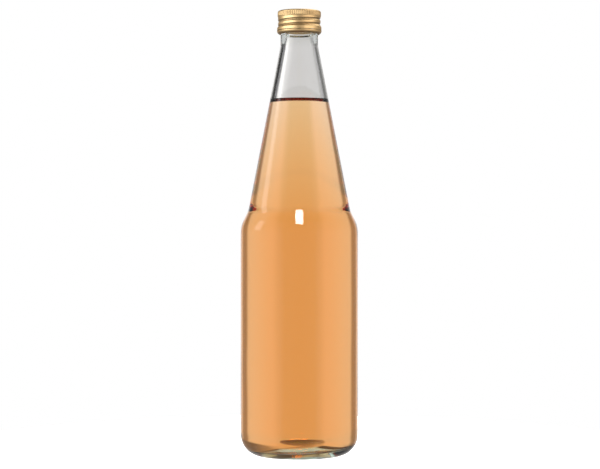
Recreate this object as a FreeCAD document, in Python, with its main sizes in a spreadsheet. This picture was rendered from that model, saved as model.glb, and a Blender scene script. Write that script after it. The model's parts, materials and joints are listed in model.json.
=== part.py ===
import FreeCAD, Part
import math
import os
import Sketcher

# A returnable 0.7 litre drink bottle of clear glass, filled, and closed with a
# gold aluminium roll-on screw cap.  Millimetres, +Z up, the axis of the bottle
# is Z and its bearing ring stands on Z = 0.

doc = FreeCAD.newDocument("drink_bottle")
dims = doc.addObject("Spreadsheet::Sheet", "dims")

SIZES = {
    # glass, outside
    "body_radius": 37.8,
    "heel_radius": 13.4,
    "bearing_inner": 21.5,
    "pushup_radius": 12.0,
    "pushup_rise": 4.2,
    "pushup_round": 11.0,
    "bearing_round": 1.2,
    "shoulder_foot": 147.7,
    "shoulder_foot_round": 17.7,
    "shoulder_top_radius": 32.9,
    "shoulder_top": 157.5,
    "shoulder_top_round": 18.0,
    "neck_radius": 12.1,
    "neck_foot": 263.9,
    "neck_foot_round": 15.0,
    # glass, finish under the cap
    "collar_radius": 13.45,
    "collar_foot": 271.6,
    "collar_lower": 273.1,
    "collar_upper": 275.0,
    "collar_top": 276.0,
    "finish_radius": 12.45,
    "mouth_height": 285.4,
    "lip_round": 1.0,
    # glass, inside
    "wall": 2.9,
    "shoulder_wall": 2.6,
    "neck_wall": 1.8,
    "bore_radius": 9.3,
    "inner_shoulder_foot": 147.0,
    "inner_shoulder_top": 156.9,
    "inner_neck_foot": 262.3,
    "floor_height": 7.0,
    "floor_rise": 3.0,
    "floor_round": 5.0,
    "bore_round": 0.8,
    # screw thread
    "pitch": 3.18,
    "thread_turns": 1.5,
    "thread_start": 277.9,
    "thread_root_width": 1.5,
    "thread_crest_width": 0.7,
    "thread_radius": 13.15,
    "thread_bite": 0.1,
    # cap
    "sheet_metal": 0.3,
    "cap_top": 286.6,
    "cap_corner": 1.3,
    "cap_corner_inside": 1.0,
    "knurl_radius": 13.95,
    "knurl_foot": 282.9,
    "skirt_radius": 13.72,
    "skirt_top": 282.6,
    "skirt_foot": 277.3,
    "flare_radius": 14.32,
    "flare_top": 276.1,
    "slit_height": 274.0,
    "roll_depth": 0.5,
    "roll_width": 1.5,
    "roll_floor_width": 0.5,
    "flute_count": 72,
    "flute_depth": 0.2,
    "flute_width": 1.0,
    "flute_foot": 283.2,
    "flute_height": 2.3,
    "cut_clearance": 0.2,
    # sealing disc
    "liner_radius": 13.1,
    "liner_round": 0.8,
    "liner_thickness": 0.87,
    "contact_gap": 0.015,
    # tamper band
    "slit_width": 0.3,
    "band_radius": 14.4,
    "band_bead_foot": 273.2,
    "band_curl_radius": 13.85,
    "band_curl_height": 272.2,
    "band_lip_radius": 12.95,
    "band_lip_height": 271.3,
    "bridge_count": 8,
    "bridge_width": 0.7,
    "bridge_height": 0.22,
    "bridge_inset": 0.05,
    # drink
    "fill_height": 227.2,
    "drink_gap": 0.04,
}
for row, (name, value) in enumerate(SIZES.items(), start=1):
    dims.set(f"A{row}", name)
    dims.set(f"B{row}", str(value))
    dims.setAlias(f"B{row}", name)
doc.recompute()

FULL_TURN = 360.0
NOTHING = 1e-4          # a length or volume this small counts as none
NEAR = 0.01             # how closely an edge has to match the place it is looked for
REAL_CHANGE = 1.0       # the least volume, in cubic millimetres, that a cut or thread makes
PATTERN_SPREAD = 0.05   # how much the volume of a pattern may differ from its blocks' sum


def size(expression):
    """The value of an expression over the sheet's aliases."""
    value = dims.evalExpression(expression)
    return float(getattr(value, "Value", value))


def new_body(node):
    body = doc.addObject("PartDesign::Body", node)
    body.Label = node
    return body


def origin_plane(body, role):
    return next(f for f in body.Origin.OriginFeatures if f.Role == role)


def outline(body, name, points, role="XZ_Plane", height="0"):
    """A closed sketch through points; each is a pair of sheet expressions."""
    sketch = body.newObject("Sketcher::SketchObject", name)
    sketch.AttachmentSupport = [(origin_plane(body, role), "")]
    sketch.MapMode = "FlatFace"
    if height != "0":
        sketch.setExpression("AttachmentOffset.Base.z", bound(height))
    places = [FreeCAD.Vector(size(u), size(v), 0) for u, v in points]
    for start, end in zip(places, places[1:] + places[:1]):
        sketch.addGeometry(Part.LineSegment(start, end), False)
    count = len(points)
    for i in range(count):
        sketch.addConstraint(Sketcher.Constraint("Coincident", i, 2, (i + 1) % count, 1))
    for i, (u, v) in enumerate(points):
        for kind, axis, expression in (("DistanceX", -2, u), ("DistanceY", -1, v)):
            if abs(size(expression)) < NOTHING:
                sketch.addConstraint(Sketcher.Constraint("PointOnObject", i, 1, axis))
                continue
            index = sketch.addConstraint(Sketcher.Constraint(kind, -1, 1, i, 1, size(expression)))
            sketch.setExpression(f"Constraints[{index}]", bound(expression))
    return sketch


def bound(expression):
    """The same expression with each alias written as a cell of the sheet."""
    words = expression.replace("(", " ( ").replace(")", " ) ").split()
    return " ".join(f"{dims.Name}.{word}" if word in SIZES else word for word in words)


def turned(body, name, points, kind="PartDesign::Revolution"):
    """A full turn of the outline about the bottle's axis, added or cut."""
    sketch = outline(body, name + "_outline", points)
    feature = body.newObject(kind, name)
    feature.Profile = sketch
    feature.ReferenceAxis = (sketch, ["V_Axis"])
    feature.Angle = FULL_TURN
    doc.recompute()
    return feature


def rounded(body, name, base, rounds):
    """Fillets on circular edges; each round is (radius, height, fillet size)."""
    feature = base
    for i, (radius, height, fillet) in enumerate(rounds):
        edges = [
            f"Edge{n}"
            for n, edge in enumerate(feature.Shape.Edges, start=1)
            if isinstance(edge.Curve, Part.Circle)
            and abs(edge.Curve.Radius - size(radius)) < NEAR
            and abs(edge.Curve.Center.z - size(height)) < NEAR
        ]
        if len(edges) != 1:
            raise RuntimeError(f"{name}: no single edge at {radius}, {height}")
        previous = feature
        feature = body.newObject("PartDesign::Fillet", f"{name}_{i + 1}")
        feature.Base = (previous, edges)
        feature.setExpression("Radius", bound(fillet))
        doc.recompute()
    return feature


def helix(body, name, points, kind, turns):
    """A right-hand thread whose section is the outline, starting on +X."""
    sketch = outline(body, name + "_section", points)
    feature = body.newObject(kind, name)
    feature.Profile = sketch
    feature.ReferenceAxis = (sketch, ["V_Axis"])
    feature.Mode = "pitch-turns-angle"
    feature.setExpression("Pitch", bound("pitch"))
    feature.setExpression("Turns", bound(turns))
    before = body.Shape.Volume
    doc.recompute()
    if abs(body.Shape.Volume - before) < REAL_CHANGE:
        raise RuntimeError(f"{name} changed nothing")
    return feature


def ring_of(body, name, points, foot, length, count, kind):
    """Blocks on the outline, length tall from foot, repeated round the axis."""
    sketch = outline(body, name + "_section", points, "XY_Plane", foot)
    block = body.newObject(kind, name)
    block.Profile = sketch
    block.Reversed = kind == "PartDesign::Pocket"
    block.setExpression("Length", bound(length))
    before = body.Shape.Volume
    doc.recompute()
    one = body.Shape.Volume - before
    pattern = body.newObject("PartDesign::PolarPattern", name + "_ring")
    pattern.Originals = [block]
    pattern.Axis = (sketch, ["N_Axis"])
    pattern.Angle = FULL_TURN
    pattern.setExpression("Occurrences", bound(count))
    body.Tip = pattern
    doc.recompute()
    change = body.Shape.Volume - before
    if abs(one) < NOTHING or abs(change / one / size(count) - 1) > PATTERN_SPREAD:
        raise RuntimeError(f"{name}: {change:.4f} mm3 from blocks of {one:.4f} mm3")


# ---------------------------------------------------------------- glass bottle
# The inside follows the outside one wall thickness in; its corners lie a little
# lower at the shoulder and at the foot of the neck, as a parallel line's do.

CAVITY = [
    ("0", "floor_height + floor_rise"),
    ("pushup_radius", "floor_height + floor_rise"),
    ("bearing_inner", "floor_height"),
    ("body_radius - wall", "floor_height"),
    ("body_radius - wall", "inner_shoulder_foot"),
    ("shoulder_top_radius - shoulder_wall", "inner_shoulder_top"),
    ("neck_radius - neck_wall", "inner_neck_foot"),
    ("bore_radius", "collar_lower"),
    ("bore_radius", "mouth_height"),
    ("0", "mouth_height"),
]
CAVITY_ROUNDS = [
    ("pushup_radius", "floor_height + floor_rise", "pushup_round"),
    ("body_radius - wall", "floor_height", "floor_round"),
    ("body_radius - wall", "inner_shoulder_foot", "shoulder_foot_round - wall"),
    ("shoulder_top_radius - shoulder_wall", "inner_shoulder_top", "shoulder_top_round"),
]

glass = new_body("bottle_glass")
outside = turned(glass, "glass_outside", [
    ("0", "pushup_rise"),
    ("pushup_radius", "pushup_rise"),
    ("bearing_inner", "0"),
    ("body_radius", "0"),
    ("body_radius", "shoulder_foot"),
    ("shoulder_top_radius", "shoulder_top"),
    ("neck_radius", "neck_foot"),
    ("neck_radius", "collar_foot"),
    ("collar_radius", "collar_lower"),
    ("collar_radius", "collar_upper"),
    ("finish_radius", "collar_top"),
    ("finish_radius", "mouth_height"),
    ("0", "mouth_height"),
])
outside = rounded(glass, "glass_round", outside, [
    ("pushup_radius", "pushup_rise", "pushup_round"),
    ("bearing_inner", "0", "bearing_round"),
    ("body_radius", "0", "heel_radius"),
    ("body_radius", "shoulder_foot", "shoulder_foot_round"),
    ("shoulder_top_radius", "shoulder_top", "shoulder_top_round"),
    ("neck_radius", "neck_foot", "neck_foot_round"),
    ("finish_radius", "mouth_height", "lip_round"),
])
solid_glass = glass.Shape.Volume

cavity = turned(glass, "glass_inside", CAVITY, "PartDesign::Groove")
cavity = rounded(glass, "glass_inside_round", cavity, CAVITY_ROUNDS + [
    ("bore_radius", "mouth_height", "bore_round"),
])
capacity = solid_glass - glass.Shape.Volume
if capacity < REAL_CHANGE:
    raise RuntimeError("the inside of the bottle was not cut")

helix(glass, "glass_thread", [
    ("finish_radius - thread_bite", "thread_start - thread_root_width / 2"),
    ("thread_radius", "thread_start - thread_crest_width / 2"),
    ("thread_radius", "thread_start + thread_crest_width / 2"),
    ("finish_radius - thread_bite", "thread_start + thread_root_width / 2"),
], "PartDesign::AdditiveHelix", "thread_turns")

# ----------------------------------------------------------------------- drink
# It fills the inside up to the fill height, a hair inside the glass.

drink = new_body("drink")
CONE_RUN = "(fill_height - inner_shoulder_top) / (inner_neck_foot - inner_shoulder_top)"
FILL_RADIUS = (
    "shoulder_top_radius - shoulder_wall - drink_gap - "
    "(shoulder_top_radius - shoulder_wall - neck_radius + neck_wall) * " + CONE_RUN
)
drink_solid = turned(drink, "drink_solid", [
    ("0", "floor_height + floor_rise + drink_gap"),
    ("pushup_radius", "floor_height + floor_rise + drink_gap"),
    ("bearing_inner", "floor_height + drink_gap"),
    ("body_radius - wall - drink_gap", "floor_height + drink_gap"),
    ("body_radius - wall - drink_gap", "inner_shoulder_foot"),
    ("shoulder_top_radius - shoulder_wall - drink_gap", "inner_shoulder_top"),
    (FILL_RADIUS, "fill_height"),
    ("0", "fill_height"),
])
rounded(drink, "drink_round", drink_solid, [
    ("pushup_radius", "floor_height + floor_rise + drink_gap", "pushup_round"),
    ("body_radius - wall - drink_gap", "floor_height + drink_gap", "floor_round"),
    ("body_radius - wall - drink_gap", "inner_shoulder_foot", "shoulder_foot_round - wall"),
    ("shoulder_top_radius - shoulder_wall - drink_gap", "inner_shoulder_top", "shoulder_top_round"),
])

# ------------------------------------------------------------------- cap shell
# One thin sheet: fluted rim, straight skirt, flare over the glass collar.

shell = new_body("cap_shell")
shell_solid = turned(shell, "shell_solid", [
    ("0", "cap_top"),
    ("knurl_radius", "cap_top"),
    ("knurl_radius", "knurl_foot"),
    ("skirt_radius", "skirt_top"),
    ("skirt_radius", "skirt_foot"),
    ("flare_radius", "flare_top"),
    ("flare_radius", "slit_height"),
    ("flare_radius - sheet_metal", "slit_height"),
    ("flare_radius - sheet_metal", "flare_top + sheet_metal / 3"),
    ("skirt_radius - sheet_metal", "skirt_foot + sheet_metal / 3"),
    ("skirt_radius - sheet_metal", "skirt_top - sheet_metal / 3"),
    ("knurl_radius - sheet_metal", "knurl_foot - sheet_metal / 3"),
    ("knurl_radius - sheet_metal", "cap_top - sheet_metal"),
    ("0", "cap_top - sheet_metal"),
])
rounded(shell, "shell_round", shell_solid, [
    ("knurl_radius", "cap_top", "cap_corner"),
    ("knurl_radius - sheet_metal", "cap_top - sheet_metal", "cap_corner_inside"),
])

# The rolled thread is a groove outside and the same ridge inside.  It starts
# half a turn round from the glass thread, at the same height, so that it lies
# in the gap between two turns of glass.
helix(shell, "rolled_ridge", [
    ("skirt_radius - sheet_metal / 2", "thread_start - roll_width / 2"),
    ("skirt_radius - sheet_metal - roll_depth", "thread_start - roll_floor_width / 2"),
    ("skirt_radius - sheet_metal - roll_depth", "thread_start + roll_floor_width / 2"),
    ("skirt_radius - sheet_metal / 2", "thread_start + roll_width / 2"),
], "PartDesign::AdditiveHelix", "thread_turns")
helix(shell, "rolled_groove", [
    ("skirt_radius + cut_clearance", "thread_start - roll_width / 2"),
    ("skirt_radius - roll_depth", "thread_start - roll_floor_width / 4"),
    ("skirt_radius - roll_depth", "thread_start + roll_floor_width / 4"),
    ("skirt_radius + cut_clearance", "thread_start + roll_width / 2"),
], "PartDesign::SubtractiveHelix", "thread_turns")
ring_of(shell, "flute", [
    ("knurl_radius - flute_depth", "0"),
    ("knurl_radius + cut_clearance", "0 - flute_width / 2"),
    ("knurl_radius + cut_clearance", "flute_width / 2"),
], "flute_foot", "flute_height", "flute_count", "PartDesign::Pocket")
shell.Placement = FreeCAD.Placement(
    FreeCAD.Vector(), FreeCAD.Rotation(FreeCAD.Vector(0, 0, 1), FULL_TURN / 2)
)

# ----------------------------------------------------------------- seal, band
liner = new_body("cap_liner")
LINER_FOOT = "mouth_height + contact_gap"
disc = turned(liner, "liner_disc", [
    ("0", LINER_FOOT),
    ("liner_radius", LINER_FOOT),
    ("liner_radius", f"{LINER_FOOT} + liner_thickness"),
    ("0", f"{LINER_FOOT} + liner_thickness"),
])
rounded(liner, "liner_edge", disc, [
    ("liner_radius", f"{LINER_FOOT} + liner_thickness", "liner_round"),
])

band = new_body("pilfer_band")
turned(band, "band_ring", [
    ("band_radius", "slit_height - slit_width"),
    ("band_radius", "band_bead_foot"),
    ("band_curl_radius", "band_curl_height"),
    ("band_lip_radius", "band_lip_height"),
    ("band_lip_radius - sheet_metal", "band_lip_height + sheet_metal / 2"),
    ("band_curl_radius - sheet_metal", "band_curl_height + sheet_metal / 2"),
    ("band_radius - sheet_metal", "band_bead_foot + sheet_metal / 2"),
    ("band_radius - sheet_metal", "slit_height - slit_width"),
])

ring_of(band, "bridge", [
    ("band_radius - sheet_metal + bridge_inset", "0 - bridge_width / 2"),
    ("band_radius - bridge_inset", "0 - bridge_width / 2"),
    ("band_radius - bridge_inset", "bridge_width / 2"),
    ("band_radius - sheet_metal + bridge_inset", "bridge_width / 2"),
], "slit_height - slit_width", "bridge_height", "bridge_count", "PartDesign::Pad")

# ---------------------------------------------------------------------- output
nodes = [glass, drink, shell, liner, band]
doc.recompute()
for thing in doc.Objects:
    if "Invalid" in thing.State or "Error" in thing.State:
        raise RuntimeError(f"{thing.Name}: {thing.State}")
os.makedirs("parts", exist_ok=True)
for node in nodes:
    shape = node.Shape
    if shape.isNull() or not shape.isValid():
        raise RuntimeError(f"{node.Label} is not a valid shape")
    shape.exportStep(f"parts/{node.Label}.step")
    print(f"{node.Label}: {shape.Volume / 1000:.2f} cm3, {len(shape.Solids)} solid")
print(f"brimful capacity {capacity / 1000:.0f} ml")
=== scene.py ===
import json
import math

import bpy
import numpy as np
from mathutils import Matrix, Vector


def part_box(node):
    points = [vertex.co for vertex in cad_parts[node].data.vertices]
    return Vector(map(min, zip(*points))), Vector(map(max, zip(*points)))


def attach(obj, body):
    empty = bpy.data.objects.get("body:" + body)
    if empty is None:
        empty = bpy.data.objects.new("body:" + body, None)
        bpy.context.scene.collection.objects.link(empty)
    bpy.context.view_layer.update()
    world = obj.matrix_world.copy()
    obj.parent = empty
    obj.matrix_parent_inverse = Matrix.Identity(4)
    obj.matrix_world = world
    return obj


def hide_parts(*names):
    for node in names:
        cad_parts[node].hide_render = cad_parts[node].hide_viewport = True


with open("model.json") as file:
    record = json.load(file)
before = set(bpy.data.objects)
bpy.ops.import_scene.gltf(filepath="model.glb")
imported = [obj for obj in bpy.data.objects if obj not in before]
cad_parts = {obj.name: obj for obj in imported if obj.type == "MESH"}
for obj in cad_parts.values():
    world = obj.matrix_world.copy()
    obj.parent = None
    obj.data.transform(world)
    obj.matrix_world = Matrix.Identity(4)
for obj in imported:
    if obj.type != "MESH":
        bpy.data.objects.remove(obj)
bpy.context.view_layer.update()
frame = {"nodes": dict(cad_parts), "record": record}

# ------------------------------------------------------------------ sizes, metres
MM = 0.001
GLASS_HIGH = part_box("bottle_glass")[1]
DRINK_LOW, DRINK_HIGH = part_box("drink")
CAP_LOW, CAP_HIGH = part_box("cap_shell")
BAND_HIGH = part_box("pilfer_band")[1]

BODY_RADIUS = GLASS_HIGH.x
MOUTH = GLASS_HIGH.z
WALL = BODY_RADIUS - DRINK_HIGH.x
FLOOR = DRINK_LOW.z
FILL = DRINK_HIGH.z
CAP_TOP = CAP_HIGH.z
SLIT = CAP_LOW.z
PITCH = frame["record"]["behaviour"]["couplings"][0]["ratio"] * math.tau

RING_RADIUS = 21.5 * MM
PUSH_UP_RADIUS = 12.0 * MM
PUSH_UP = 4.2 * MM
FLOOR_RISE = 3.0 * MM
SHOULDER_FOOT = 147.7 * MM
SHOULDER_TOP = (32.9 * MM, 157.5 * MM)
SHOULDER_WALL = 2.6 * MM
NECK_FOOT = (12.1 * MM, 263.9 * MM)
NECK_WALL = 1.8 * MM
COLLAR_RADIUS = 13.45 * MM
COLLAR_TOP = MOUTH - 9.4 * MM
FINISH_RADIUS = 12.45 * MM
THREAD_RADIUS = 13.15 * MM
THREAD_START = MOUTH - 7.5 * MM
THREAD_TURNS = 1.5
THREAD_WIDTH = 1.5 * MM
THREAD_RING_STEP = 0.25 * MM
THREAD_TAPER = 0.12
BORE_RADIUS = 9.3 * MM
SHEET = 0.3 * MM
MENISCUS = 2.2 * MM
MENISCUS_REACH = 2.0 * MM


# ------------------------------------------------------------------- outline tools
def rounded_path(corners, step=3.0 * MM, arc_step=math.radians(5)):
    """Points along a path of corners (r, z, round): straight runs in steps, corners as arcs."""
    points = []
    places = [Vector((c[0], c[1])) for c in corners]
    rounds = [c[2] if len(c) > 2 else 0.0 for c in corners]
    last = len(places) - 1
    for i, place in enumerate(places):
        if i in (0, last) or rounds[i] == 0:
            piece = [place]
        else:
            back = (places[i - 1] - place).normalized()
            ahead = (places[i + 1] - place).normalized()
            half = back.angle(ahead) / 2
            reach = rounds[i] / math.tan(half)
            centre = place + (back + ahead).normalized() * (rounds[i] / math.sin(half))
            start = place + back * reach - centre
            sweep = math.pi - 2 * half
            side = 1 if start.y * back.x - start.x * back.y > 0 else -1
            count = max(3, math.ceil(sweep / arc_step))
            piece = []
            for k in range(count + 1):
                a = side * sweep * k / count
                turn = Vector((start.x * math.cos(a) - start.y * math.sin(a),
                               start.x * math.sin(a) + start.y * math.cos(a)))
                piece.append(centre + turn)
        if points:
            run = piece[0] - points[-1]
            count = max(1, math.ceil(run.length / step))
            origin = points[-1].copy()
            points += [origin + run * (k / count) for k in range(1, count)]
        points += piece
    return points


ON_AXIS = 1e-7


def lathe(name, path, segments, shape, wet=None):
    """A closed surface of revolution. shape(r, z, angle) gives moved r and z, and how much
    painted shade each point gets, from 0 to 1, which becomes a point attribute. The
    rings that wet(ring, height) picks have the face attribute "wet" at 1."""
    angles = np.arange(segments) * math.tau / segments
    rings = [p for p in path if p.x > ON_AXIS]
    r = np.array([p.x for p in rings])[:, None] + 0 * angles[None]
    z = np.array([p.y for p in rings])[:, None] + 0 * angles[None]
    a = 0 * r + angles[None]
    r, z, painted_shade = shape(r, z, a)
    verts = np.stack([r * np.cos(a), r * np.sin(a), z], axis=2).reshape(-1, 3)
    faces, marks = [], []
    for i in range(len(rings) - 1):
        low, high = i * segments, (i + 1) * segments
        marks += [float(bool(wet and wet(i, rings[i].y)))] * segments
        for k in range(segments):
            n = (k + 1) % segments
            faces.append((low + k, low + n, high + n, high + k))
    verts = verts.tolist()
    painted_shade = painted_shade.ravel().tolist()
    top = (len(rings) - 1) * segments
    if path[0].x <= ON_AXIS:
        first, end = len(verts), len(verts) + 1
        verts += [(0, 0, float(z[0].mean())), (0, 0, float(z[-1].mean()))]
        painted_shade += [0.0, 0.0]
        for k in range(segments):
            n = (k + 1) % segments
            faces.append((first, n, k))
            faces.append((end, top + k, top + n))
            marks += [marks[0], marks[top - 1]]
    else:
        faces += [(top + k, top + (k + 1) % segments, (k + 1) % segments, k)
                  for k in range(segments)]
        marks += [marks[0]] * segments
    around = zip(path, path[1:] + path[:1])
    if sum(p.x * q.y - q.x * p.y for p, q in around) < 0:
        faces = [face[::-1] for face in faces]
    mesh = bpy.data.meshes.new(name)
    mesh.from_pydata(verts, [], faces)
    mesh.polygons.foreach_set("use_smooth", [True] * len(mesh.polygons))
    mesh.attributes.new("wet", "FLOAT", "FACE").data.foreach_set("value", marks)
    mesh.attributes.new("painted_shade", "FLOAT", "POINT").data.foreach_set("value", painted_shade)
    piece = bpy.data.objects.new(name, mesh)
    bpy.context.scene.collection.objects.link(piece)
    return piece


def smooth(x):
    """A soft step from 0 to 1 as x goes from 0 to 1."""
    x = np.clip(x, 0, 1)
    return x * x * (3 - 2 * x)


# ------------------------------------------------------------------------ the glass
def thread_ridge(z, a, start, turns, depth, width, offset):
    """How far a right-hand thread stands out at (z, a): tapered ends, rounded flanks. It
    starts at the height start and the angle offset."""
    out = np.zeros_like(z)
    for turn in range(-1, int(turns) + 2):
        along = (a - offset) / math.tau + turn
        centre = start + PITCH * along
        across = np.clip(np.abs(z - centre) / (width / 2), 0, 1)
        taper = smooth(along / THREAD_TAPER) * smooth((turns - along) / THREAD_TAPER)
        out = np.maximum(out, depth * (0.5 + 0.5 * np.cos(math.pi * across)) * taper)
    return out


FLOOR_TILT = 2.4 * MM
TILT_FADES_OVER = 40 * MM
THICK_SIDE = math.radians(62)


def uneven_floor(r, z, a):
    """The glass is a little thicker at one side of the base than at the other."""
    fade = 1 - smooth((z - FLOOR) / TILT_FADES_OVER)
    return z + FLOOR_TILT * fade * (r / BODY_RADIUS) * np.cos(a - THICK_SIDE)


OUTSIDE = [
    (0, PUSH_UP),
    (PUSH_UP_RADIUS, PUSH_UP, 11 * MM),
    (RING_RADIUS, 0, 1.2 * MM),
    (BODY_RADIUS, 0, 13.4 * MM),
    (BODY_RADIUS, SHOULDER_FOOT, 17.7 * MM),
    (*SHOULDER_TOP, 18 * MM),
    (*NECK_FOOT, 15 * MM),
    (NECK_FOOT[0], MOUTH - 13.8 * MM, 0.6 * MM),
    (COLLAR_RADIUS, MOUTH - 12.3 * MM, 0.4 * MM),
    (COLLAR_RADIUS, MOUTH - 10.4 * MM, 0.4 * MM),
    (FINISH_RADIUS, COLLAR_TOP, 0.4 * MM),
    (FINISH_RADIUS, MOUTH, 1.0 * MM),
    (BORE_RADIUS, MOUTH, 0.8 * MM),
]
INSIDE = [
    (BORE_RADIUS, MOUTH - 12.3 * MM, 20 * MM),
    (NECK_FOOT[0] - NECK_WALL, NECK_FOOT[1] - 1.6 * MM, 15 * MM),
    (SHOULDER_TOP[0] - SHOULDER_WALL, SHOULDER_TOP[1] - 0.6 * MM, 34 * MM),
    (BODY_RADIUS - WALL, SHOULDER_FOOT - 0.7 * MM, 14.8 * MM),
    (BODY_RADIUS - WALL, FLOOR, 5.0 * MM),
    (RING_RADIUS, FLOOR, 6 * MM),
    (PUSH_UP_RADIUS, FLOOR + FLOOR_RISE, 11 * MM),
    (0, FLOOR + FLOOR_RISE),
]


def glass_shape(outside_count):
    """The shape of the glass: a thread on the outside of the finish, and the uneven floor
    inside. The first outside_count rings are the outside."""
    def shape(r, z, a):
        outer = np.arange(len(r))[:, None] < outside_count
        finish = outer & (z > COLLAR_TOP + 0.1 * MM) & (z < MOUTH - 0.9 * MM)
        ridge = thread_ridge(z, a, THREAD_START, THREAD_TURNS,
                             THREAD_RADIUS - FINISH_RADIUS, THREAD_WIDTH, math.pi)
        r = np.where(finish, r + ridge, r)
        z = np.where(outer, z, uneven_floor(r, z, a))
        return r, z, 0 * r
    return shape


def path_of_glass():
    """The outside, with close rings where the thread is, and the inside."""
    outside = rounded_path(OUTSIDE, step=3 * MM)
    threaded = []
    for start, end in zip(outside, outside[1:] + [None]):
        threaded.append(start)
        rise = end.y - start.y if end else 0
        if abs(start.x - FINISH_RADIUS) < 0.001 * MM and rise > 0.3 * MM:
            count = math.ceil(rise / THREAD_RING_STEP)
            threaded += [start.lerp(end, k / count) for k in range(1, count)]
    inside = rounded_path([OUTSIDE[-1][:2]] + INSIDE, step=3 * MM)[1:]
    return threaded, inside


ROUND_STEPS = 192
outside_path, inside_path = path_of_glass()
outside_rings = len([p for p in outside_path if p.x > ON_AXIS])
glass = lathe("bottle_glass_visual", outside_path + inside_path, ROUND_STEPS,
              glass_shape(outside_rings),
              wet=lambda ring, z: ring >= outside_rings and z < FILL + MENISCUS)

# ------------------------------------------------------------------------ the drink
OVERLAP = 0.12 * MM
SURFACE_RINGS = 20


def drink_path():
    """The inside of the glass up to the fill line, a hair into the wall, with a meniscus."""
    wall = [(r + OVERLAP, z) + tuple(rest) for r, z, *rest in INSIDE[2:5]]
    floor = [(r, z - OVERLAP) + tuple(rest) for r, z, *rest in INSIDE[5:]]
    wall[2] = (wall[2][0], wall[2][1] - OVERLAP, wall[2][2])
    top = FILL + MENISCUS
    neck, shoulder = INSIDE[1], INSIDE[2]
    run = (top - shoulder[1]) / (neck[1] - shoulder[1])
    rim = shoulder[0] + (neck[0] - shoulder[0]) * run + OVERLAP
    surface = []
    for k in range(SURFACE_RINGS):
        reach = math.sin(math.pi / 2 * k / SURFACE_RINGS)
        climb = math.exp(-(1 - reach) * rim / MENISCUS_REACH)
        surface.append(Vector((rim * reach, FILL + MENISCUS * climb)))
    side = rounded_path([(rim, top)] + wall + floor, step=3 * MM)
    return surface + side


drink = lathe("drink_visual", drink_path(), ROUND_STEPS,
              lambda r, z, a: (r, uneven_floor(r, z, a), 0 * r),
              wet=lambda ring, z: ring >= SURFACE_RINGS - 1)

# -------------------------------------------------------------------- the screw cap
FLUTES = 72
FLUTE_DEPTH = 0.28 * MM
KNURL_RADIUS = 13.95 * MM
KNURL_FOOT = CAP_TOP - 3.7 * MM
SKIRT_RADIUS = 13.72 * MM
SKIRT_TOP = CAP_TOP - 4.2 * MM
FLARE_RADIUS = CAP_HIGH.x
TOP_DISH = 0.12 * MM
GROOVE_DEPTH = 0.5 * MM
GROOVE_WIDTH = 2.0 * MM
GROOVE_START = THREAD_START - 0.75 * PITCH
GROOVE_TURNS = 2.05
FLANK_RISE = 0.45 * MM
FLANK_WIDTH = 1.5 * MM
SIDE_FROM = 12.9 * MM

CAP_OUTSIDE = [
    (0, CAP_TOP - TOP_DISH),
    (11.4 * MM, CAP_TOP - TOP_DISH, 0.6 * MM),
    (11.9 * MM, CAP_TOP, 0.5 * MM),
    (KNURL_RADIUS, CAP_TOP, 1.3 * MM),
    (KNURL_RADIUS, KNURL_FOOT, 0.3 * MM),
    (SKIRT_RADIUS, SKIRT_TOP, 0.3 * MM),
    (SKIRT_RADIUS, CAP_TOP - 9.5 * MM, 1.0 * MM),
    (FLARE_RADIUS, CAP_TOP - 10.7 * MM, 1.0 * MM),
    (FLARE_RADIUS, SLIT, 0.1 * MM),
]
CAP_INSIDE = [(r - SHEET, z, *rest) for r, z, *rest in CAP_OUTSIDE[4:]]


def cap_shape(r, z, a):
    """The rolled thread and the fluted rim press the sheet inwards, outside and inside alike.
    The grooves' upper flanks and the flutes get painted shade, the top edge a painted dark
    reflection."""
    start, turn = GROOVE_START, math.pi / 2
    groove = thread_ridge(z, a, start, GROOVE_TURNS, GROOVE_DEPTH, GROOVE_WIDTH, turn)
    flank = thread_ridge(z, a, start + FLANK_RISE, GROOVE_TURNS, 1.0, FLANK_WIDTH, turn)
    skirt = (r > SIDE_FROM) & (z < KNURL_FOOT + 0.8 * MM)
    rim = (r > SIDE_FROM) & (z >= KNURL_FOOT - 0.2 * MM)
    foot = smooth((z - KNURL_FOOT - 0.15 * MM) / (0.25 * MM))
    window = foot * smooth((CAP_TOP - 0.75 * MM - z) / (0.5 * MM))
    flute = window * (0.5 - 0.5 * np.cos(FLUTES * a)) ** 0.8
    edge = smooth((z - CAP_TOP + 0.5 * MM) / (0.4 * MM)) * (r > 11.5 * MM)
    # Painted shade in the grooves and flutes, and a painted dark reflection along the top edge.
    painted_shade = np.where(skirt, flank, 0) + np.where(rim, 0.75 * flute, 0) + 0.6 * edge
    r = r - np.where(skirt, groove, 0) - np.where(rim, FLUTE_DEPTH * flute, 0)
    return r, z, np.clip(painted_shade, 0, 1)


def cap_path():
    """Outside from the middle of the top to the slit, then back up the inside. The flat top
    needs few rings."""
    outer = rounded_path(CAP_OUTSIDE, step=0.3 * MM, arc_step=math.radians(12))
    outer = [p for i, p in enumerate(outer) if p.x == 0 or p.x > 10 * MM or i % 8 == 0]
    corners = [(0, CAP_TOP - SHEET - TOP_DISH), (KNURL_RADIUS - SHEET, CAP_TOP - SHEET, 1.0 * MM)]
    inner = rounded_path(corners + CAP_INSIDE, step=0.5 * MM, arc_step=math.radians(20))
    return outer + inner[::-1]


cap = lathe("cap_shell_visual", cap_path(), FLUTES * 6, cap_shape)

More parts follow.
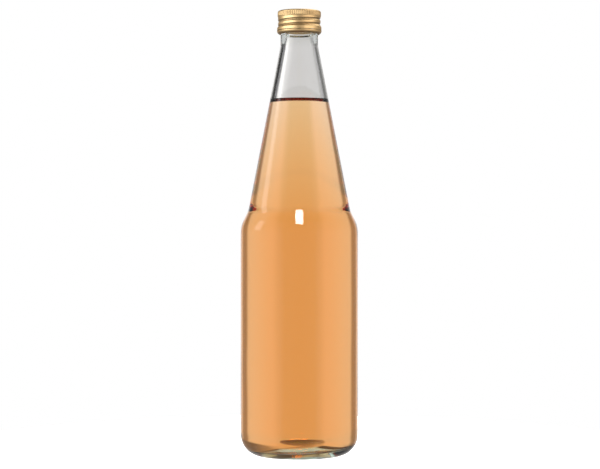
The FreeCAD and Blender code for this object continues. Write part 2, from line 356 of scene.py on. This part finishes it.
# ----------------------------------------------------------------- the tamper band
BAND_RADIUS = BAND_HIGH.x
BAND_TOP = SLIT - 0.3 * MM
BAND = [
    (BAND_RADIUS - 0.05 * MM, BAND_TOP, 0.08 * MM),
    (BAND_RADIUS, SLIT - 0.8 * MM, 1.0 * MM),
    (13.95 * MM, SLIT - 1.8 * MM, 0.8 * MM),
    (12.95 * MM, SLIT - 2.65 * MM, 0.1 * MM),
    (12.75 * MM, SLIT - 2.45 * MM, 0.1 * MM),
    (13.65 * MM, SLIT - 1.65 * MM, 0.6 * MM),
    (BAND_RADIUS - SHEET, SLIT - 0.7 * MM, 0.8 * MM),
    (BAND_RADIUS - SHEET - 0.05 * MM, BAND_TOP, 0.08 * MM),
]
BRIDGES = 12
BRIDGE_REACH = 0.28 * MM
BAND_STEPS = 384


def band_shape(r, z, a):
    """Thin bridges stand on the top edge; the curled foot and a strip along the top edge get
    painted shade.
    """
    bridge = (z > BAND_TOP - 0.02 * MM) & (np.cos(BRIDGES * a) > 0.8)
    # Painted shade on the curled foot and along the top edge.
    painted_shade = smooth((SLIT - 1.0 * MM - z) / (1.0 * MM))
    painted_shade = np.maximum(painted_shade, 0.8 * smooth((z - BAND_TOP + 0.35 * MM) / (0.3 * MM)))
    return r, z + np.where(bridge, BRIDGE_REACH, 0), painted_shade


band_corners = [(BAND_RADIUS - 0.20 * MM, BAND_TOP)] + BAND + [(BAND_RADIUS - 0.21 * MM, BAND_TOP)]
band_path = rounded_path(band_corners, step=0.3 * MM, arc_step=math.radians(15))
band = lathe("pilfer_band_visual", band_path, BAND_STEPS, band_shape)


# ---------------------------------------------------------------------- materials
def new_material(name):
    """A new material, with its node tree and its Principled shader."""
    material = bpy.data.materials.new(name)
    material.use_nodes = True
    tree = material.node_tree
    shader = tree.nodes["Principled BSDF"]
    return material, tree, shader


def absorb(tree, colour, density):
    """Colours what lies inside a closed mesh, more the further light goes through it."""
    volume = tree.nodes.new("ShaderNodeVolumeAbsorption")
    volume.inputs["Color"].default_value = (*colour, 1)
    volume.inputs["Density"].default_value = density
    tree.links.new(volume.outputs[0], tree.nodes["Material Output"].inputs["Volume"])


def add_node(tree, kind, **values):
    """A shader node whose named inputs are set to plain values or linked to sockets."""
    node = tree.nodes.new(kind)
    for name, value in values.items():
        place = node.inputs[name.replace("_", " ")]
        if isinstance(value, bpy.types.NodeSocket):
            tree.links.new(value, place)
        else:
            place.default_value = value
    return node


def attribute(tree, name):
    node = tree.nodes.new("ShaderNodeAttribute")
    node.attribute_name = name
    return node.outputs["Fac"]


def noise(tree, scale, detail=2.0):
    """Noise in the object's own coordinates, with scale lumps to a metre along each axis."""
    place = tree.nodes.new("ShaderNodeTexCoord").outputs["Object"]
    place = add_node(tree, "ShaderNodeMapping", Vector=place, Scale=scale).outputs["Vector"]
    made = add_node(tree, "ShaderNodeTexNoise", Vector=place, Scale=1.0, Detail=detail)
    return made.outputs["Fac"]


def colour_mix(tree, factor, first, second):
    """From the first colour at factor 0 to the second at 1; the first may be a socket."""
    made = tree.nodes.new("ShaderNodeMix")
    made.data_type = "RGBA"
    tree.links.new(factor, made.inputs["Factor"])
    if isinstance(first, bpy.types.NodeSocket):
        tree.links.new(first, made.inputs["A"])
    else:
        made.inputs["A"].default_value = (*first, 1)
    made.inputs["B"].default_value = (*second, 1)
    return made.outputs["Result"]


def height_between(tree, low, high):
    """From 0 at the height low to 1 at the height high."""
    place = tree.nodes.new("ShaderNodeTexCoord").outputs["Object"]
    height = add_node(tree, "ShaderNodeSeparateXYZ", Vector=place).outputs["Z"]
    made = add_node(tree, "ShaderNodeMapRange", Value=height, From_Min=low, From_Max=high)
    return made.outputs["Result"]


def product(tree, first, second):
    node = tree.nodes.new("ShaderNodeMath")
    node.operation = "MULTIPLY"
    tree.links.new(first, node.inputs[0])
    tree.links.new(second, node.inputs[1])
    return node.outputs[0]


def bump(tree, height, distance, strength=1.0, under=None):
    """A bumped normal, on top of another one if under gives it."""
    node = add_node(tree, "ShaderNodeBump", Height=height, Distance=distance, Strength=strength)
    if under:
        tree.links.new(under, node.inputs["Normal"])
    return node.outputs["Normal"]


GLASS_IOR = 1.52
DRINK_IOR = 1.34
SAME_IOR = 1.0


def clear_material(name, dry_ior, wet_ior):
    """A clear material whose index is counted against what lies on the other side of each face:
    air where the face is dry, and the drink or the glass where it is wet."""
    material, tree, shader = new_material(name)
    shader.inputs["Base Color"].default_value = (1, 1, 1, 1)
    shader.inputs["Roughness"].default_value = 0.0
    shader.inputs["Transmission Weight"].default_value = 1.0
    ior = add_node(tree, "ShaderNodeMapRange", Value=attribute(tree, "wet"),
                   To_Min=dry_ior, To_Max=wet_ior)
    shader.inputs["IOR"].default_value = dry_ior
    tree.links.new(ior.outputs["Result"], shader.inputs["IOR"])
    return material, tree, shader


def clear_glass():
    """Flint glass with a trace of green: slow waves left by the blowing, and fine stipple on
    the ring that the bottle stands on."""
    material, tree, shader = clear_material("clear_glass", GLASS_IOR, GLASS_IOR / DRINK_IOR)
    above_heel = height_between(tree, 20 * MM, 50 * MM)
    waves = bump(tree, product(tree, noise(tree, (28, 28, 9)), above_heel), 0.45 * MM)
    ring = height_between(tree, 1.0 * MM, 0.1 * MM)
    grains = product(tree, noise(tree, (1100, 1100, 1100)), ring)
    stipple = bump(tree, grains, 0.15 * MM, strength=0.7, under=waves)
    tree.links.new(stipple, shader.inputs["Normal"])
    absorb(tree, (0.30, 0.62, 0.50), 14)
    return material


def amber_drink():
    """Clear amber, with painted shade on the meniscus where the surface curves up the glass."""
    material, tree, shader = clear_material("amber_drink", DRINK_IOR, SAME_IOR)
    # Painted shade: the colour goes near black from just below the fill line up over the meniscus.
    rim = height_between(tree, FILL - 0.2 * MM, FILL + 0.3 * MM)
    base = colour_mix(tree, rim, (1, 1, 1), (0.055, 0.055, 0.06))
    tree.links.new(base, shader.inputs["Base Color"])
    absorb(tree, (0.9706, 0.606, 0.029), 34)
    return material


def gold_sheet():
    """Lacquered aluminium: satin gold with rolling marks around it, fine grain, a few rubbed
    patches, and painted shade in its grooves, flutes and band edges and along the cap's top edge."""
    material, tree, shader = new_material("gold_lacquered_sheet")
    rolling = noise(tree, (70, 70, 2600), detail=3.0)
    patches = noise(tree, (190, 190, 320), detail=4.0)
    grain = noise(tree, (2400, 2400, 2400))
    base = colour_mix(tree, patches, (0.80, 0.53, 0.24), (0.93, 0.69, 0.38))
    base = colour_mix(tree, grain, base, (0.87, 0.60, 0.29))
    # Painted shade: the colour darkens where the shape marked grooves, flutes, band edges and the
    # cap's top edge.
    base = colour_mix(tree, attribute(tree, "painted_shade"), base, (0.34, 0.23, 0.12))
    tree.links.new(base, shader.inputs["Base Color"])
    shader.inputs["Metallic"].default_value = 1.0
    worn = add_node(tree, "ShaderNodeMapRange", Value=patches, To_Min=0.52, To_Max=0.36)
    tree.links.new(worn.outputs["Result"], shader.inputs["Roughness"])
    marks = bump(tree, rolling, 0.05 * MM, strength=0.6)
    dents = bump(tree, patches, 0.12 * MM, strength=0.8, under=marks)
    tree.links.new(dents, shader.inputs["Normal"])
    return material


def liner_plastic():
    """Off-white sealing compound, slightly mottled."""
    material, tree, shader = new_material("liner_compound")
    mottle = noise(tree, (420, 420, 420), detail=4.0)
    base = colour_mix(tree, mottle, (0.74, 0.72, 0.66), (0.86, 0.85, 0.80))
    tree.links.new(base, shader.inputs["Base Color"])
    shader.inputs["Roughness"].default_value = 0.42
    tree.links.new(bump(tree, mottle, 0.08 * MM), shader.inputs["Normal"])
    return material


def dress(piece, body, material, node):
    """Gives a piece its material, and lets it stand for a CAD node on its body."""
    piece.data.materials.append(material)
    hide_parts(node)
    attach(piece, body)


gold = gold_sheet()
dress(glass, "bottle", clear_glass(), "bottle_glass")
dress(drink, "bottle", amber_drink(), "drink")
dress(cap, "cap", gold, "cap_shell")
dress(band, "band", gold, "pilfer_band")
liner = frame["nodes"]["cap_liner"]
liner.material_slots[0].material = liner_plastic()

# -------------------------------------------------------------------------- studio
scene = bpy.context.scene
scene.view_settings.view_transform = "Standard"
scene.cycles.max_bounces = 40
scene.cycles.transmission_bounces = 32
scene.cycles.glossy_bounces = 16
scene.cycles.diffuse_bounces = 3
scene.cycles.volume_bounces = 2
scene.cycles.transparent_max_bounces = 16

CAMERA_PLACE = (0.00046, -1.187, 0.1424)
SENSOR_WIDTH = 36
LENS = 110.4
camera_data = bpy.data.cameras.new("camera")
camera_data.sensor_width = SENSOR_WIDTH
camera_data.lens = LENS
camera = bpy.data.objects.new("camera", camera_data)
camera.location = CAMERA_PLACE
camera.rotation_euler = (math.pi / 2, 0, 0)
scene.collection.objects.link(camera)
scene.camera = camera


# The studio as light arrives through the bottle, by bearing in degrees from straight behind
# it, positive to the left: LEVEL from TABLE up to HORIZON, and HIGH from there to OVERHEAD,
# where a white card stands at the left. Light from lower is white and from higher an even
# grey. Each border is the two elevations it fades between. Brightness is in camera white.
CENTRE = (0.88, 0.87, 0.85)
SIDE = (1.0, 0.99, 1.10)
DARK = (0.41, 0.36, 0.29)
LEVEL = [
    (-180, CENTRE), (-169, CENTRE), (-165, SIDE), (-127, SIDE), (-60, SIDE), (-55, SIDE),
    (-50, DARK), (-41, DARK), (-36, SIDE), (-13, SIDE), (-9, CENTRE),
    (9, CENTRE), (13, SIDE), (36, SIDE), (41, DARK), (51, DARK), (56, SIDE), (60, SIDE),
    (127, SIDE), (165, SIDE), (169, CENTRE), (180, CENTRE),
]
HIGH = [
    (-180, 0.75), (-75, 0.5), (-70, 0.22), (-30, 0.2), (-18, 0.42), (-9, 0.66), (3, 0.66),
    (6, 0.85), (9, 1.1), (13, 1.1), (16, 0.15), (18, 0.03), (70, 0.03), (75, 0.5), (180, 0.75),
]
# The studio as polished surfaces reflect it: dark behind the camera, brighter at the sides.
MIRRORED = [
    (-180, 0.22), (-150, 0.25), (-143, 0.55), (-90, 0.5), (-65, 0.3), (-35, 0.25), (-15, 0.9),
    (15, 0.9), (35, 0.25), (65, 0.3), (90, 0.6), (143, 0.6), (150, 0.25), (180, 0.22),
]
# What all of it is multiplied by at each elevation in degrees, even below the horizon.
CEILING = [
    (-90, 1.0), (4, (1, 0.96, 0.94)), (12, (0.95, 0.92, 0.90)), (16, (0.6, 0.6, 0.6)),
    (38, (0.55, 0.57, 0.52)), (46, 0.12), (90, 0.12),
]
BRIGHTEST = 2.0
EVEN_ABOVE = 1.1
MIRRORED_BELOW = 0.3
TABLE = (-22, -19)
HORIZON = (1.5, 3.5)
OVERHEAD = (14, 17)
MIRRORED_TABLE = (-50, -10)


def grey(level):
    """A neutral colour for the world, whose colours are counted against the brightest."""
    return (level / BRIGHTEST,) * 3 + (1.0,)


def studio_world():
    """The camera sees plain white; light through the glass and reflections see the studio."""
    world = bpy.data.worlds.new("studio")
    world.use_nodes = True
    tree = world.node_tree
    links = tree.links
    background = tree.nodes["Background"]
    direction = tree.nodes.new("ShaderNodeTexCoord").outputs["Generated"]
    parts = tree.nodes.new("ShaderNodeSeparateXYZ")
    links.new(direction, parts.inputs[0])

    def math_node(operation, *values):
        made = tree.nodes.new("ShaderNodeMath")
        made.operation = operation
        for slot, value in enumerate(values):
            if isinstance(value, (int, float)):
                made.inputs[slot].default_value = value
            else:
                links.new(value, made.inputs[slot])
        return made.outputs[0]

    def span(value, low, high):
        """From 0 at low to 1 at high."""
        made = tree.nodes.new("ShaderNodeMapRange")
        made.inputs["From Min"].default_value = low
        made.inputs["From Max"].default_value = high
        links.new(value, made.inputs["Value"])
        return made.outputs["Result"]

    def ramp(value, half, stops, unit=BRIGHTEST):
        """Colours at stops between minus half and half, counted against the unit."""
        made = tree.nodes.new("ShaderNodeValToRGB")
        elements = made.color_ramp.elements
        while len(elements) < len(stops):
            elements.new(0.5)
        for element, (at, level) in zip(elements, stops):
            colour = level if isinstance(level, tuple) else (level,) * 3
            element.position = 0.5 + 0.5 * at / half
            element.color = (*(part / unit for part in colour), 1)
        links.new(span(value, -half, half), made.inputs["Fac"])
        return made.outputs["Color"]

    def mix(factor, first, second, blend="MIX"):
        made = tree.nodes.new("ShaderNodeMix")
        made.data_type = "RGBA"
        made.blend_type = blend
        for name, value in (("Factor", factor), ("A", first), ("B", second)):
            if isinstance(value, (int, float, tuple)):
                made.inputs[name].default_value = value
            else:
                links.new(value, made.inputs[name])
        return made.outputs["Result"]

    left = math_node("MULTIPLY", parts.outputs["X"], -1.0)
    bearing = math_node("ARCTAN2", left, parts.outputs["Y"])
    bearing = math_node("MULTIPLY", bearing, 180 / math.pi)
    height = math_node("MULTIPLY", math_node("ARCSINE", parts.outputs["Z"]), 180 / math.pi)
    white = grey(1.0)
    path = tree.nodes.new("ShaderNodeLightPath")
    through = mix(span(height, *TABLE), white, ramp(bearing, 180, LEVEL))
    above = mix(span(height, *OVERHEAD), ramp(bearing, 180, HIGH), grey(EVEN_ABOVE))
    through = mix(span(height, *HORIZON), through, above)
    mirrored = ramp(bearing, 180, MIRRORED)
    mirrored = mix(span(height, *MIRRORED_TABLE), grey(MIRRORED_BELOW), mirrored)
    seen = mix(path.outputs["Is Transmission Ray"], mirrored, through)
    seen = mix(1.0, seen, ramp(height, 90, CEILING, 1.0), "MULTIPLY")
    links.new(mix(path.outputs["Is Camera Ray"], seen, white), background.inputs["Color"])
    background.inputs["Strength"].default_value = BRIGHTEST
    scene.world = world


studio_world()


def area_light(name, place, target, size, power, seen=True):
    """A rectangular light turned to its target; if not seen, it leaves no reflection."""
    data = bpy.data.lights.new(name, "AREA")
    data.shape = "RECTANGLE"
    data.size, data.size_y = size
    data.energy = power
    light = bpy.data.objects.new(name, data)
    light.location = place
    light.rotation_euler = (Vector(target) - Vector(place)).to_track_quat("-Z", "Y").to_euler()
    scene.collection.objects.link(light)
    if not seen:
        light.visible_glossy = False
        light.visible_transmission = False
    return light


def group_of(name, pieces):
    group = bpy.data.collections.new(name)
    for piece in pieces:
        group.objects.link(piece)
    return group


def pale_floor(radius, sides=96):
    """A round pale floor, which isn't seen through the glass or in reflections."""
    mesh = bpy.data.meshes.new("floor")
    turns = [k * math.tau / sides for k in range(sides)]
    rim = [(radius * math.cos(turn), radius * math.sin(turn), 0) for turn in turns]
    mesh.from_pydata(rim, [], [tuple(range(sides))])
    floor = bpy.data.objects.new("floor", mesh)
    scene.collection.objects.link(floor)
    floor.visible_transmission = False
    floor.visible_glossy = False
    material, tree, shader = new_material("pale_floor")
    shader.inputs["Base Color"].default_value = (0.9, 0.9, 0.9, 1)
    shader.inputs["Roughness"].default_value = 0.8
    mesh.materials.append(material)
    return floor


floor = pale_floor(0.26)

# The neck is seen clear right up to the cap, without the far side of the band.
band.visible_transmission = False
metal = group_of("metal", (cap, band))
clear = group_of("clear", (glass, drink, floor, liner))
window = area_light("window", (0.0, -0.85, 1.0), (0, 0, 0.15), (0.30, 0.42), 8.0)
window.light_linking.receiver_collection = clear
side_box = area_light("side_box", (-1.2, 0.0, 0.60), (0, 0, 0.2), (0.34, 0.60), 1.1)
side_box.light_linking.receiver_collection = clear
# The light from above passes through the bottle without a hard shadow under it.
overhead = area_light("overhead", (0.0, 0.0, 1.6), (0, 0, 0), (1.6, 1.6), 110.0, seen=False)
overhead.light_linking.receiver_collection = clear
overhead.light_linking.blocker_collection = metal


def cap_light(name, place, size, power, colour):
    """A soft box that lights only the gold cap and its band."""
    light = area_light(name, place, (0, 0, 0.28), size, power)
    light.data.color = colour
    light.light_linking.receiver_collection = metal


cap_light("cap_left", (-1.15, -0.75, 0.45), (2.0, 1.3), 17.0, (0.96, 1.0, 1.04))
cap_light("cap_top", (0.4, 0.5, 1.3), (1.2, 1.2), 9.0, (1.0, 1.0, 1.0))
cap_light("cap_right", (1.15, -0.85, 0.45), (1.9, 1.3), 9.0, (1.0, 0.92, 0.85))
